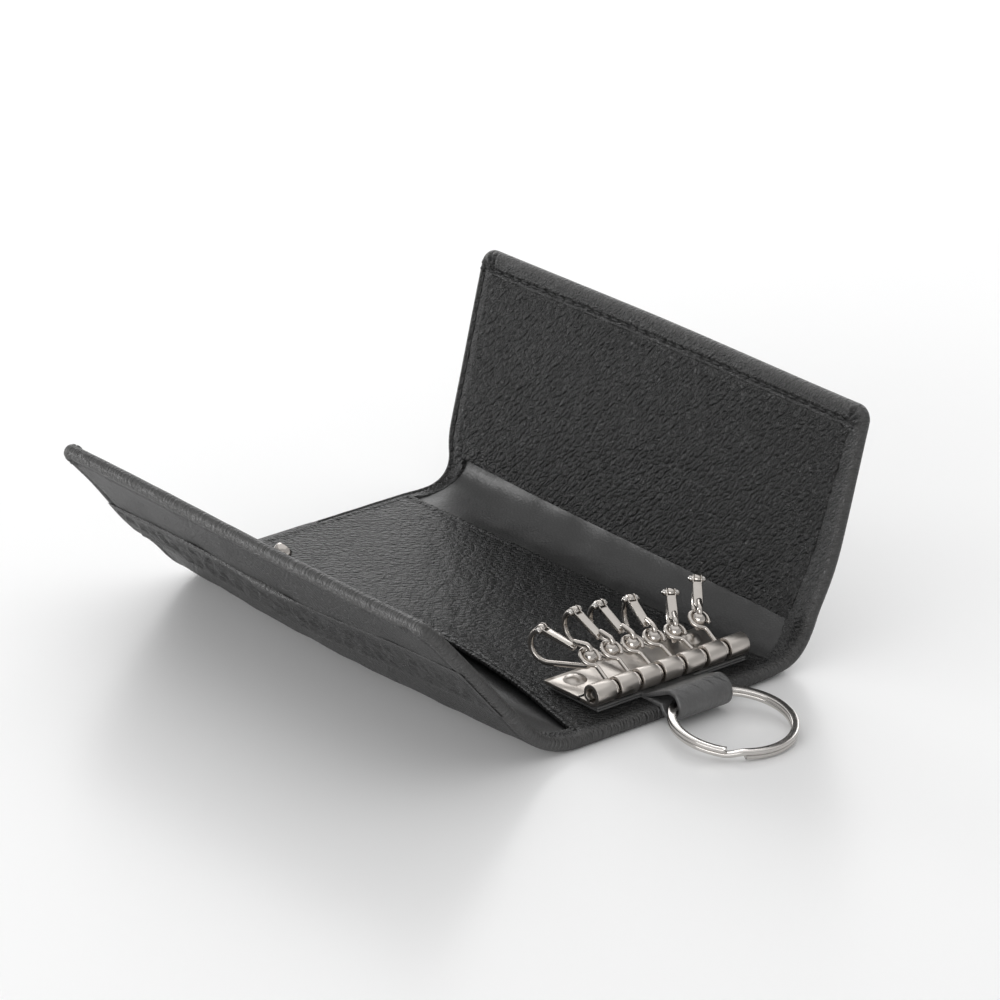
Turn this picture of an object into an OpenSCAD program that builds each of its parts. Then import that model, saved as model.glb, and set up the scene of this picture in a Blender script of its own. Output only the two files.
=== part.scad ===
// Leather key case: three hinged leather sections, a six-hook key rail and a split ring on a loop.
// X runs along the folds towards the ring end, +Y is the back, +Z is up, Z = 0 is the resting face.

/* [Case] */
// Length of the case along its folds
case_len = 110; // [100:1:120]
// Thickness of every finished leather section
wall = 3; // [2.8:0.1:3.2]
// Radius of the free corners of the flaps
corner_r = 4; // [2:0.5:6]
// Width of the turned edge round each flap
rim_w = 4.5; // [3.5:0.5:6]

/* [Back flap] */
// Where the back fold line crosses the middle section
back_fold_y = 23.6; // [23:0.1:25]
// Angle from the resting face to the back flap as it stands
back_angle = 75; // [60:1:85]
// Inner radius of the back fold
back_fold_r = 7.7; // [7:0.1:9]
// Length of the back flap beyond its fold
back_flap_w = 38.7; // [36:0.1:42]

/* [Front flap] */
// Where the front fold line crosses the middle section, towards the front
front_fold_y = 23.6; // [23:0.1:25]
// Angle from the resting face to the front flap as it stands
front_angle = 48; // [35:1:60]
// Inner radius of the front fold
front_fold_r = 15; // [13:0.5:17]
// Length of the front flap beyond its fold
front_flap_w = 29.5; // [26:0.5:32]

/* [Key rail] */
// Length of the rail across the case
rail_len = 37.5; // [36:0.1:39]
// Distance from the middle of the case to the hinge line of the hooks
rail_x = 48.4; // [47.5:0.1:49]
// Sideways place of the middle of the rail
rail_y = 1.7; // [0:0.1:2]
// Outer radius of the rolled barrel
barrel_r = 2.1; // [2:0.05:2.3]
// Distance from one hook to the next
hook_pitch = 5.42; // [5.4:0.01:5.6]

/* [Split ring] */
// Outer diameter of the split ring
ring_d = 24.2; // [24:0.1:25.5]
// Slope of the ring from the leather loop down to the table
ring_slope = 7.6; // [7:0.1:7.8]

/* [Hidden] */
$fn = 64;

leather = [0.13, 0.13, 0.14];
lining = [0.22, 0.22, 0.23];
board_grey = [0.55, 0.53, 0.5];
nickel = [0.78, 0.76, 0.71];
steel = [0.85, 0.85, 0.87];

half = wall / 2;
cover_t = 1;            // outer leather
board_t = 0.8;          // stiffening board
gap = 0.15;             // room round the folds' rolled edges
rim_low = 0.4;          // step from the rim down from the inner face
joint_lap = 0.02;       // lap where a bend runs into a straight stretch
back_closing = (180 - back_angle) / 2;
front_closing = (180 - front_angle) / 2;
back_opening = 13;
front_opening = 11;

// straight stretches of leather each side of the curved part of a fold
back_lead = 2.1;
back_tail = 3.9;
front_lead = 1.4;
front_tail = 6.5;

function fold_end(y, lead, radius, angle, tail) = [
    y + lead + (radius + half) * sin(angle) + tail * cos(angle),
    half + (radius + half) * (1 - cos(angle)) + tail * sin(angle)];
back_end = fold_end(back_fold_y, back_lead, back_fold_r, back_angle, back_tail);
front_end = fold_end(front_fold_y, front_lead, front_fold_r, front_angle, front_tail);

// snap, given from each flap's fold line
snap_x = 4.5;
stud_y = 22;
socket_y = back_end_closed_y() - front_end_closed_y() - stud_y;
function closed_y(y, end, turn) = y + (end[0] - y) * cos(turn) - (end[1] - half) * sin(turn);
function back_end_closed_y() = closed_y(back_fold_y, back_end, back_closing);
function front_end_closed_y() = -closed_y(front_fold_y, front_end, front_closing);

// rail
pad_t = 1;
plate_t = 0.7;
plate_x0 = 35.3;
rail_z = wall + pad_t + barrel_r;
rod_r = 0.75;
running = 0.05;
slot_w = 1.3;
rivet_x = 38.8;
rivet_dy = 14.3;
rivet_r = 1;
burr_r = 2.2;

// hooks: how far each bail is raised, how far its loop is raised, and how far it fans to the back
bail_lift = [33, 31.5, 27, 25, 22, 32];
loop_lift = [4, 11, 10, 5, 3, 6];
loop_fan = [-24, -6, 0, 14, 36, 38];
bail_wire = 0.45;
eye_r = 1.9;
neck_r = 1;
reach = 7.6;
ball_r = 1.45;
wire_r = 0.55;
bead = 0.05;            // how far the collar at each end of a bend stands out of the wire
collar_len = 0.3;
lap = 0.1;              // how far a bend or a wire runs into its collar
lug = 1;                // flat end of the loop's wire, next to its eyelet
leg_n = 2.2;            // half distance between the legs at the ball
corner_bend = 0.9;
loop_u = 8.6;           // centre of the round end of the loop
loop_r = 3.5;
leg_slope = 10;
pivot_angle = 65;
gate_tilt = 17.2;
gate_len = 7.5;
gate_t = 0.45;
gate_w = 0.9;
eyelet_r = 0.85;
eyelet_w = 0.6;
pin_r = 0.3;
pivot = [loop_u + loop_r * cos(pivot_angle), loop_r * sin(pivot_angle)];
function hook_y(i) = rail_y + hook_pitch * (i - 3.5);

// leather loop and ring
loop_x = 57.6;
loop_z = 4;
loop_out = 3.1;
loop_in = 2.1;
loop_y0 = -6;
loop_y1 = 7;
coil_w = 1.5;
coil_h = 1.7;

// ---- frames ----

// the back flap's own frame: Y runs from its fold line to its free edge, +Z is its inner face
module at_back() {
    translate([0, back_end[0], back_end[1]]) rotate([back_angle, 0, 0]) children();
}

module at_front() {
    mirror([0, 1, 0]) translate([0, front_end[0], front_end[1]]) rotate([front_angle, 0, 0]) children();
}

// a bail's own frame: X runs out from the rod, Z is square to the eye
module at_bail(i) {
    translate([rail_x, hook_y(i), rail_z]) rotate([0, bail_lift[i - 1], 0]) rotate([0, 0, 180]) children();
}

// a loop's own frame: origin in its ball, X runs out to the round end, Z is along its pin
module at_loop(i) {
    translate([rail_x - reach * cos(bail_lift[i - 1]), hook_y(i), rail_z + reach * sin(bail_lift[i - 1])])
        rotate([0, loop_lift[i - 1], 0])
        rotate([0, 0, 180 - loop_fan[i - 1]])
        children();
}

module at_ring() {
    translate([loop_x, (loop_y0 + loop_y1) / 2, loop_z]) rotate([0, ring_slope, 0]) children();
}

// ---- shared shapes ----

module slab(x, y0, y1, z0, z1) {
    translate([-x / 2, y0, z0]) cube([x, y1 - y0, z1 - z0]);
}

// a sheet with two rounded corners at its free edge
module sheet(x, y0, y1, z0, z1, r) {
    translate([0, 0, z0]) linear_extrude(z1 - z0) {
        translate([-x / 2, y0]) square([x, y1 - y0 - r]);
        translate([r - x / 2, y0]) square([x - 2 * r, y1 - y0]);
        for (side = [-1, 1]) translate([side * (x / 2 - r), y1 - r]) circle(r);
    }
}

// room for a fold's rolled edge and for the leather beyond it at both ends of its travel;
// the fold lies on the side given by way
module fold_relief(way, closing, opening) {
    rotate([90, 0, 90]) linear_extrude(2 * case_len, center = true) {
        circle(half + gap);
        for (turn = [closing, -opening])
            rotate(way * turn) translate([way > 0 ? 0 : -2 * wall, -half - gap]) square([2 * wall, wall + 2 * gap]);
    }
}

module flap_relief(closing, opening) {
    fold_relief(-1, closing, opening);
}

module centre_relief() {
    translate([0, back_fold_y, half]) fold_relief(1, back_closing, back_opening);
    mirror([0, 1, 0]) translate([0, front_fold_y, half]) fold_relief(1, front_closing, front_opening);
}

// profile of a fold: rolled edge, straight lead, curve, straight tail, rolled edge
module fold_profile(y, lead, radius, angle, tail, end) {
    bow = radius + wall;
    translate([y, half]) circle(half);
    translate([y, 0]) square([lead, wall]);
    translate([y + lead, bow]) intersection() {
        difference() {
            circle(bow);
            circle(radius);
        }
        polygon([[-joint_lap, 0], [-joint_lap, -2 * bow], 3 * bow * [sin(angle / 2), -cos(angle / 2)],
                 2 * bow * [sin(angle), -cos(angle)] + joint_lap * [cos(angle), sin(angle)],
                 joint_lap * [cos(angle), sin(angle)]]);
    }
    translate(end) rotate(angle) translate([-tail, -half]) square([tail, wall]);
    translate(end) circle(half);
}

module fold(y, lead, radius, angle, tail, end) {
    translate([-case_len / 2, 0, 0]) rotate([90, 0, 90]) linear_extrude(case_len)
        fold_profile(y, lead, radius, angle, tail, end);
}

// outer leather of a flap with its edge turned in
module flap_cover(w, closing, opening) {
    difference() {
        sheet(case_len, -half, w, -half, half - rim_low, corner_r);
        sheet(case_len - 2 * rim_w, -wall, w - rim_w, cover_t - half, wall, corner_r / 2);
        flap_relief(closing, opening);
    }
}

module flap_board(w) {
    sheet(case_len - 2 * rim_w - 1, wall, w - rim_w - 0.5, cover_t - half, cover_t + board_t - half, 1);
}

module flap_panel(w, closing, opening) {
    difference() {
        sheet(case_len - 2 * rim_w, -half, w - rim_w, cover_t + board_t - half, half, corner_r / 2);
        flap_relief(closing, opening);
    }
}

module rivet_places() {
    for (side = [-1, 1]) translate([rivet_x, rail_y + side * rivet_dy, 0]) children();
}

// ---- middle section ----

module centre_cover() color(leather) {
    difference() {
        slab(case_len, -front_fold_y, back_fold_y, 0, wall - rim_low / 2);
        slab(case_len - 4, -2 * front_fold_y, 2 * back_fold_y, cover_t, 2 * wall);
        centre_relief();
    }
}

module centre_board() color(board_grey) {
    difference() {
        slab(case_len - 8, 2.2 - front_fold_y, back_fold_y - 2.2, cover_t, cover_t + board_t);
        rivet_places() cylinder(r = burr_r + gap, h = wall);
    }
}

module centre_lining() color(lining) {
    difference() {
        slab(case_len - 4, -front_fold_y, back_fold_y, cover_t + board_t, cover_t + board_t + 0.5);
        rivet_places() cylinder(r = rivet_r, h = wall);
        centre_relief();
    }
}

module pocket_panel() color(leather) {
    difference() {
        slab(case_len - 4, 3 - front_fold_y, back_fold_y, cover_t + board_t + 0.5, wall);
        rivet_places() cylinder(r = rivet_r, h = 2 * wall);
        centre_relief();
    }
}

// ---- back flap ----

module back_fold() color(leather) {
    fold(back_fold_y, back_lead, back_fold_r, back_angle, back_tail, back_end);
}

module socket_hole(r) {
    translate([snap_x, socket_y, -2 * wall]) cylinder(r = r, h = 2 * wall + cover_t + board_t - half);
}

module back_cover() color(leather) at_back() difference() {
    flap_cover(back_flap_w, back_closing, back_opening);
    socket_hole(2.8);
}

module back_board() color(board_grey) at_back() difference() {
    flap_board(back_flap_w);
    socket_hole(4.6);
}

module back_panel() color(leather) at_back() {
    flap_panel(back_flap_w, back_closing, back_opening);
}

module snap_socket() color(nickel) at_back() translate([snap_x, socket_y, 0]) difference() {
    union() {
        translate([0, 0, -half - 0.8]) cylinder(r1 = 4.2, r2 = 4.8, h = 0.8);
        translate([0, 0, -half - 0.4]) cylinder(r = 2.8, h = cover_t + 0.4);
    }
    translate([0, 0, -wall]) cylinder(r = 2.1, h = 2 * wall);
}

module snap_socket_washer() color(nickel) at_back() translate([snap_x, socket_y, cover_t - half])
    difference() {
        cylinder(r = 4.4, h = 0.7);
        translate([0, 0, -wall]) cylinder(r = 2.1, h = 2 * wall);
    }

// ---- front flap ----

module front_fold() color(leather) mirror([0, 1, 0]) {
    fold(front_fold_y, front_lead, front_fold_r, front_angle, front_tail, front_end);
}

module stud_hole(r) {
    translate([snap_x, stud_y, cover_t - half]) cylinder(r = r, h = 2 * wall);
}

module front_cover() color(leather) at_front() {
    flap_cover(front_flap_w, front_closing, front_opening);
}

module front_board() color(board_grey) at_front() difference() {
    flap_board(front_flap_w);
    stud_hole(3.2);
}

module front_panel() color(lining) at_front() difference() {
    flap_panel(front_flap_w, front_closing, front_opening);
    stud_hole(1.4);
}

// outside pocket, stitched on the front flap's outer face, its mouth towards the free edge
module slip_pocket() color(leather) at_front() {
    slab(case_len, 3, front_flap_w - 9, -half - 0.6, -half);
}

module snap_stud() color(nickel) at_front() translate([snap_x, stud_y, half]) {
    cylinder(r = 4, h = 0.5);
    translate([0, 0, -0.4]) cylinder(r = 1.4, h = 1);
    difference() {
        union() {
            cylinder(r = 1.5, h = 1.8);
            translate([0, 0, 1.8]) sphere(r = 1.75);
        }
        translate([0, 0, 1.4]) cylinder(r = 0.6, h = 4);
        translate([0, 0, -4]) cylinder(r = 4, h = 4);
        translate([0, 0, 2.8]) cylinder(r = 4, h = 4);
    }
}

module snap_stud_washer() color(nickel) at_front() translate([snap_x, stud_y, cover_t - half]) {
    cylinder(r = 3, h = 0.7);
    cylinder(r = 1.4, h = wall - cover_t - 0.4);
}

// ---- key rail ----

module rail_pad() color(leather) {
    difference() {
        union() {
            translate([plate_x0 + 1, rail_y - rail_len / 2 + 0.5, wall])
                cube([rail_x + 1.4 - plate_x0 - 1, rail_len - 1, pad_t]);
            translate([0, loop_y1, 0]) rotate([90, 0, 0]) linear_extrude(loop_y1 - loop_y0) {
                translate([loop_x, loop_z]) circle(loop_out);
                polygon([[rail_x, wall], [rail_x, wall + pad_t], [rail_x + 2, wall + pad_t],
                         [loop_x - 1.2, loop_z + loop_out - 0.24], [loop_x, loop_z], [loop_x - 2, wall]]);
            }
        }
        translate([loop_x, 0, loop_z]) rotate([90, 0, 0]) cylinder(r = loop_in, h = case_len, center = true);
        slab(case_len + 0.1, -case_len, case_len, -wall, wall);
        translate([rail_x, 0, rail_z]) rotate([90, 0, 0])
            cylinder(r = barrel_r + 0.05, h = case_len, center = true);
        rivet_places() cylinder(r = rivet_r, h = 3 * wall);
    }
}

module rail_plate() color(nickel) {
    difference() {
        union() {
            translate([plate_x0, rail_y - rail_len / 2, wall + pad_t])
                cube([rail_x - plate_x0, rail_len, plate_t]);
            translate([rail_x, rail_y, rail_z]) rotate([90, 0, 0])
                cylinder(r = barrel_r, h = rail_len, center = true);
        }
        translate([rail_x, rail_y, rail_z]) rotate([90, 0, 0])
            cylinder(r = rod_r, h = rail_len + 1, center = true);
        for (i = [1:6])
            translate([rail_x - 2 * barrel_r, hook_y(i) - slot_w / 2, wall + pad_t + 0.35])
            cube([4 * barrel_r, slot_w, 4 * barrel_r]);
        rivet_places() cylinder(r = rivet_r, h = 3 * wall);
    }
}

module rail_rod() color(steel) {
    translate([rail_x, rail_y, rail_z]) rotate([90, 0, 0])
        cylinder(r = rod_r, h = rail_len - 1.2, center = true);
}

module rail_rivets() color(nickel) rivet_places() {
    translate([0, 0, cover_t + board_t]) cylinder(r = rivet_r, h = pad_t + plate_t + wall - cover_t - board_t);
    translate([0, 0, wall + pad_t + plate_t]) intersection() {
        translate([0, 0, -1.6]) sphere(r = 2.8);
        cylinder(r = 3, h = 3);
    }
}

module rivet_washers() color(nickel) rivet_places() {
    translate([0, 0, cover_t]) cylinder(r = burr_r, h = board_t);
}

// ---- hooks ----

// how far a bend of radius r runs on into the collar at its end, in degrees
function lapped(r) = lap / r * 180 / PI;

// short collar from here along X
module collar(r) {
    rotate([0, 90, 0]) cylinder(r = r + bead, h = collar_len);
}

module bail(i) color(nickel) at_bail(i) difference() {
    both = norm([neck_r + eye_r, collar_len]);
    bend = acos(neck_r / both) - atan2(collar_len, neck_r + eye_r);
    start = reach - (neck_r + eye_r) * sin(bend) - collar_len * cos(bend);
    union() {
        rotate([90, 0, 0]) cylinder(r = 1.65, h = 2 * bail_wire + 0.1, center = true);
        translate([1.2, 0, 0]) rotate([0, 90, 0]) cylinder(r = bail_wire, h = start - 1.2 - lap);
        translate([start - collar_len, 0, 0]) collar(bail_wire);
        translate([start, neck_r, 0]) rotate([0, 0, -90 - lapped(neck_r)])
            rotate_extrude(angle = bend + 2 * lapped(neck_r)) translate([neck_r, 0]) circle(bail_wire);
        translate([start + neck_r * sin(bend), neck_r - neck_r * cos(bend), 0]) rotate([0, 0, bend])
            collar(bail_wire);
        translate([reach, 0, 0]) rotate([0, 0, -130])
            rotate_extrude(angle = 220 + bend + lapped(eye_r)) translate([eye_r, 0]) circle(bail_wire);
    }
    rotate([90, 0, 0]) cylinder(r = rod_r + running, h = 4, center = true);
    translate([reach, 0, 0]) sphere(r = ball_r + running);
}

module ball(i) color(nickel) at_loop(i) difference() {
    sphere(r = ball_r);
    cylinder(r = wire_r + bead + 0.01, h = 4 * ball_r, center = true);
}

// bent wire in the X-Z plane of a loop's frame
module bent(centre, r, from, turn) {
    translate([centre[0], 0, centre[1]]) rotate([90, 0, 0]) rotate([0, 0, from - lapped(r)])
        rotate_extrude(angle = turn + 2 * lapped(r)) translate([r, 0]) circle(wire_r);
}

// straight wire with a collar at its start, and at its end too if it has one
module wire_to(a, b, end_collar) {
    run = b - a;
    translate([a[0], 0, a[1]]) rotate([0, -atan2(run[1], run[0]), 0]) {
        collar(wire_r);
        translate([lap, 0, 0]) rotate([0, 90, 0]) cylinder(r = wire_r, h = norm(run) - 2 * lap);
        if (end_collar) translate([norm(run) - collar_len, 0, 0]) collar(wire_r);
    }
}

module loop(i) color(nickel) at_loop(i) {
    low = leg_n - corner_bend;
    slope = [sin(leg_slope), cos(leg_slope)];
    lug_angle = pivot_angle - lug / loop_r * 180 / PI;
    wire_to([0, -low], [0, low], true);
    bent([corner_bend, low], corner_bend, 90, 90);
    wire_to([corner_bend, leg_n], [3.3, leg_n], false);
    bent([corner_bend, -low], corner_bend, 180, 90 - leg_slope);
    wire_to([corner_bend, -low] - corner_bend * slope, [loop_u, 0] - loop_r * slope, true);
    bent([loop_u, 0], loop_r, -90 - leg_slope, 90 + leg_slope + lug_angle);
    difference() {
        union() {
            translate([loop_u, 0, 0]) rotate([0, -lug_angle, 0]) translate([loop_r - eyelet_w, -eyelet_w, 0])
                cube([2 * eyelet_w, 2 * eyelet_w, lug]);
            translate([pivot[0], 0, pivot[1]]) rotate([90, 0, 0])
                cylinder(r = eyelet_r, h = 2 * eyelet_w, center = true);
        }
        translate([pivot[0], 0, pivot[1]]) rotate([90, 0, 0])
            cylinder(r = pin_r + running, h = 4, center = true);
    }
}

module at_gate(i) {
    at_loop(i) translate([pivot[0], 0, pivot[1]]) rotate([0, -gate_tilt, 0]) children();
}

module gate(i) color(nickel) at_gate(i) difference() {
    union() {
        translate([-gate_len, -gate_w, -gate_t]) cube([gate_len - eyelet_r - 0.3, 2 * gate_w, 2 * gate_t]);
        for (side = [-1, 1]) {
            translate([0, side * 0.775, 0]) rotate([90, 0, 0]) cylinder(r = eyelet_r, h = 0.25, center = true);
            translate([-eyelet_r - 0.4, side * 0.775 - 0.125, -gate_t])
                cube([eyelet_r + 0.4, 0.25, 2 * gate_t]);
        }
    }
    rotate([90, 0, 0]) cylinder(r = pin_r, h = 4, center = true);
}

module gate_pin(i) color(steel) at_gate(i) {
    rotate([90, 0, 0]) cylinder(r = pin_r, h = 2 * gate_w, center = true);
    for (side = [-1, 1]) rotate([side * 90, 0, 0]) translate([0, 0, gate_w]) {
        cylinder(r = 0.6, h = 0.3);
        translate([0, 0, 0.3]) difference() {
            sphere(r = 0.6);
            translate([0, 0, -1]) cylinder(r = 1, h = 1);
        }
    }
}

// ---- split ring ----

module split_ring() color(steel) {
    mid = (ring_d - coil_w) / 2;
    sag = (mid - sqrt(mid * mid - pow((loop_y1 - loop_y0) / 2, 2))) / 2;
    at_ring() translate([mid - sag, 0, 0]) rotate_extrude($fn = 128) {
        translate([mid - coil_w / 2, 0.06]) square([coil_w, coil_h / 2 - 0.06]);
        translate([mid - coil_w / 2, -coil_h / 2]) square([coil_w, coil_h / 2 - 0.06]);
        translate([mid - coil_w / 2 + 0.2, -0.1]) square([coil_w - 0.4, 0.2]);
    }
}

centre_cover();
centre_board();
centre_lining();
pocket_panel();
back_fold();
back_cover();
back_board();
back_panel();
snap_socket();
snap_socket_washer();
front_fold();
front_cover();
front_board();
front_panel();
slip_pocket();
snap_stud();
snap_stud_washer();
rail_pad();
rail_plate();
rail_rod();
rail_rivets();
rivet_washers();
split_ring();
for (i = [1:6]) {
    bail(i);
    ball(i);
    loop(i);
    gate(i);
    gate_pin(i);
}
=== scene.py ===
import math

import bpy
import numpy as np
from mathutils import Euler, Matrix, Vector


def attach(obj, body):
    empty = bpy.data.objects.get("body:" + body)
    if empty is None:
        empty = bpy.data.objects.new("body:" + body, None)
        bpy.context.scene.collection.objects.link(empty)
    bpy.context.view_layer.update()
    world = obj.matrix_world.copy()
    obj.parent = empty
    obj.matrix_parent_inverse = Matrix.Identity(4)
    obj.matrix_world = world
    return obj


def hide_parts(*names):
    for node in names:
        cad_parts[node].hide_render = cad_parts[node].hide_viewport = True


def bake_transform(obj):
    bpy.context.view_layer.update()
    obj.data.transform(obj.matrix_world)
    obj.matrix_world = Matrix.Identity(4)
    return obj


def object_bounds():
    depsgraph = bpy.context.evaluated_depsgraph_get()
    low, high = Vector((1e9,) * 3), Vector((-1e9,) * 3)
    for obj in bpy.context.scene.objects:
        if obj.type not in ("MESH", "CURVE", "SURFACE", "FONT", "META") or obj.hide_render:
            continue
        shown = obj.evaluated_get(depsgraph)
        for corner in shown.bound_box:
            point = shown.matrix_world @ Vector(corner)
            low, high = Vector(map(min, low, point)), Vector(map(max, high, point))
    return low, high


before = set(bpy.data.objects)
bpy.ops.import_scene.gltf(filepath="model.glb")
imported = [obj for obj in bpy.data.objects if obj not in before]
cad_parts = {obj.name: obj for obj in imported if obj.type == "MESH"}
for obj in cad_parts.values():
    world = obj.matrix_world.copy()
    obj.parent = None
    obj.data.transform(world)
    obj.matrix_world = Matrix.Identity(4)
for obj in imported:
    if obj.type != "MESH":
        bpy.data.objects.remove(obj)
cad_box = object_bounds()

# Shapes are worked out in millimetres, in the row frame: X along the folds, Y across them, Z up.
MM = 0.001
PI = math.pi

# ---------------------------------------- camera

CAMERA_AT = (0.798644, -0.677407, 0.461430)
CAMERA_TURN = (67.3661, -0.2593, 49.7186)  # degrees about X, Y and Z

camera_data = bpy.data.cameras.new("camera")
camera_data.lens = 216.27
camera_data.sensor_width = 36.0
camera_data.clip_start = 0.01
camera_data.clip_end = 20.0
camera = bpy.data.objects.new("camera", camera_data)
bpy.context.scene.collection.objects.link(camera)
camera_turn = Euler([math.radians(angle) for angle in CAMERA_TURN])
camera.matrix_world = Matrix.LocRotScale(Vector(CAMERA_AT), camera_turn, None)
bpy.context.scene.camera = camera

# ---------------------------------------- materials


class Graph:
    """A material and short ways to add nodes to it."""

    def __init__(self, name):
        self.mat = bpy.data.materials.new(name)
        self.mat.use_nodes = True
        self.tree = self.mat.node_tree
        self.shader = self.tree.nodes["Principled BSDF"]

    def put(self, value, socket):
        if isinstance(value, bpy.types.NodeSocket):
            self.tree.links.new(value, socket)
        else:
            socket.default_value = value

    def add(self, kind, out=0, inputs=(), **props):
        node = self.tree.nodes.new("ShaderNode" + kind)
        for key, value in props.items():
            setattr(node, key, value)
        for key, value in dict(inputs).items():
            self.put(value, node.inputs[key])
        return node.outputs[out]

    def math(self, operation, a, b=0.0, c=0.0):
        return self.add("Math", inputs={0: a, 1: b, 2: c}, operation=operation)

    def spread(self, value, low, high, to_low=0.0, to_high=1.0):
        given = {0: value, 1: low, 2: high, 3: to_low, 4: to_high}
        return self.add("MapRange", inputs=given, clamp=True)

    def mix(self, share, a, b):
        return self.add("Mix", out=2, inputs={0: share, 6: a, 7: b}, data_type="RGBA")

    def object_coords(self):
        return self.add("TexCoord", out=3)

    def noise(self, coords, scale, detail=2.0, out=0):
        return self.add("TexNoise", out=out, inputs={"Vector": coords, "Scale": scale, "Detail": detail})

    def edges(self, coords, scale):
        return self.add("TexVoronoi", inputs={"Vector": coords, "Scale": scale},
                        feature="DISTANCE_TO_EDGE", voronoi_dimensions="2D")

    def place(self, coords, rotation=0.0, scale=(1.0, 1.0, 1.0)):
        turn = (0.0, 0.0, rotation)
        return self.add("Mapping", inputs={"Vector": coords, "Rotation": turn, "Scale": scale})

    def finish(self, colour, roughness, height, depth, **sockets):
        """Wires up the shader. The sockets are plain numbers, set on the shader itself."""
        normal = self.add("Bump", inputs={"Height": height, "Distance": depth, "Strength": 1.0})
        self.put(colour, self.shader.inputs["Base Color"])
        self.put(roughness, self.shader.inputs["Roughness"])
        self.put(normal, self.shader.inputs["Normal"])
        for key, value in sockets.items():
            self.put(value, self.shader.inputs[key.replace("_", " ")])
        return self.mat


def grey(value, warm=0.0):
    return (value * (1 + warm), value, value * (1 - warm), 1.0)


def leather_material(name, base, rough, shine, pebble, grain, crease, fine, depth):
    """Black leather: pebbled grain, long creases, fine pores, and paler worn edges.

    The UV map holds the leather's own coordinates in units of 100 mm, so scales are per millimetre.
    pebble is the pebbles' size; grain, crease and fine are heights; depth is the bump's, in metres.
    """
    g = Graph(name)
    flat = g.place(g.add("UVMap", uv_map="hide"), scale=(100.0, 100.0, 1.0))
    push = g.noise(flat, 0.55, 3.0, out=1)
    warped = g.add("VectorMath", inputs={0: push, 1: (0.9, 0.9, 0.0), 2: flat}, operation="MULTIPLY_ADD")
    # Turned first and drawn out second, so that the pebbles lean along the creases.
    drawn = g.place(g.place(warped, -0.84), scale=(0.6, 1.0, 1.0))
    long_drawn = g.place(g.place(warped, -0.7), scale=(0.2, 1.0, 1.0))
    patches = g.noise(flat, 0.16, 2.0)
    pores = g.noise(flat, 7.0, 3.0)
    cells = g.spread(g.edges(drawn, 1 / pebble), 0.0, 0.38)
    cells = g.math("MULTIPLY", cells, g.spread(patches, 0.3, 0.7, 0.75, 1.0))
    small = g.spread(g.edges(g.place(warped, 0.7), 2.1 / pebble), 0.0, 0.35)
    folds = g.spread(g.edges(long_drawn, 0.5), 0.0, 0.16)
    height = g.math("MULTIPLY", cells, grain)
    height = g.math("MULTIPLY_ADD", small, 0.35 * grain, height)
    height = g.math("MULTIPLY_ADD", folds, crease, height)
    height = g.math("MULTIPLY_ADD", pores, fine, height)
    wear = g.add("Attribute", out=2, attribute_name="wear")
    colour = g.mix(g.spread(patches, 0.3, 0.7), grey(base * 0.82), grey(base * 1.2))
    colour = g.mix(g.math("MULTIPLY", cells, 0.35), colour, grey(base * 1.35))
    colour = g.mix(g.math("MULTIPLY", wear, 0.7), colour, grey(base * 4.0, 0.02))
    roughness = g.math("MULTIPLY_ADD", patches, 0.12, rough)
    roughness = g.math("MULTIPLY_ADD", cells, -0.08, roughness)
    return g.finish(colour, roughness, height, depth, Specular_IOR_Level=shine)


def metal_material(name, base, warm, rough, streak, depth):
    """Plated metal: fine brushing and pits, with faint clouding where it has been handled."""
    g = Graph(name)
    coords = g.object_coords()
    brushed = g.noise(g.place(coords, scale=streak), 1.0, 3.0)
    clouds = g.noise(coords, 220.0, 3.0)
    pits = g.noise(coords, 2600.0, 2.0)
    colour = g.mix(g.spread(clouds, 0.3, 0.7), grey(base * 0.93, warm), grey(base * 1.04, warm))
    roughness = g.math("MULTIPLY_ADD", brushed, 0.12, rough - 0.12)
    roughness = g.math("MULTIPLY_ADD", clouds, 0.12, roughness)
    height = g.math("MULTIPLY_ADD", pits, 0.3, brushed)
    return g.finish(colour, roughness, height, depth, Metallic=1.0)


def board_material():
    """Bonded fibre board, brown and matt."""
    g = Graph("bonded_board")
    coords = g.object_coords()
    fibres = g.noise(g.place(coords, scale=(900.0, 2600.0, 900.0)), 1.0, 4.0)
    specks = g.noise(coords, 1500.0, 2.0)
    colour = g.mix(fibres, (0.2, 0.17, 0.14, 1.0), (0.34, 0.3, 0.25, 1.0))
    return g.finish(colour, g.spread(specks, 0.3, 0.7, 0.75, 0.95), fibres, 0.00005)


def thread_material():
    """Black thread with its twist."""
    g = Graph("stitching_thread")
    ply = g.noise(g.place(g.object_coords(), scale=(5200.0, 2600.0, 5200.0)), 1.0, 3.0)
    colour = g.mix(ply, grey(0.004), grey(0.014))
    return g.finish(colour, g.spread(ply, 0.3, 0.7, 0.5, 0.7), ply, 0.00004)


GRAINED = leather_material("grained_leather", base=0.0045, rough=0.36, shine=0.4, pebble=1.0,
                           grain=1.0, crease=0.6, fine=0.12, depth=0.00028)
# The outer leather's base colour is the leather's own black, raised with painted light that stands in for the
# floor light brightening the front flap's outside.
OUTER = leather_material("outer_leather", base=0.0165, rough=0.4, shine=0.66, pebble=0.7,
                         grain=0.8, crease=0.5, fine=0.2, depth=0.00028)
SMOOTH = leather_material("smooth_lining", base=0.02, rough=0.43, shine=0.62, pebble=0.55,
                          grain=0.25, crease=0.2, fine=0.2, depth=0.0001)
SATIN = metal_material("satin_nickel", base=0.62, warm=0.07, rough=0.33,
                       streak=(300.0, 5200.0, 300.0), depth=0.000006)
BRIGHT = metal_material("bright_nickel", base=0.6, warm=0.065, rough=0.2,
                        streak=(900.0, 900.0, 900.0), depth=0.000004)
STEEL = metal_material("polished_steel", base=0.6, warm=0.04, rough=0.15,
                       streak=(700.0, 700.0, 700.0), depth=0.000003)
BOARD = board_material()
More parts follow.
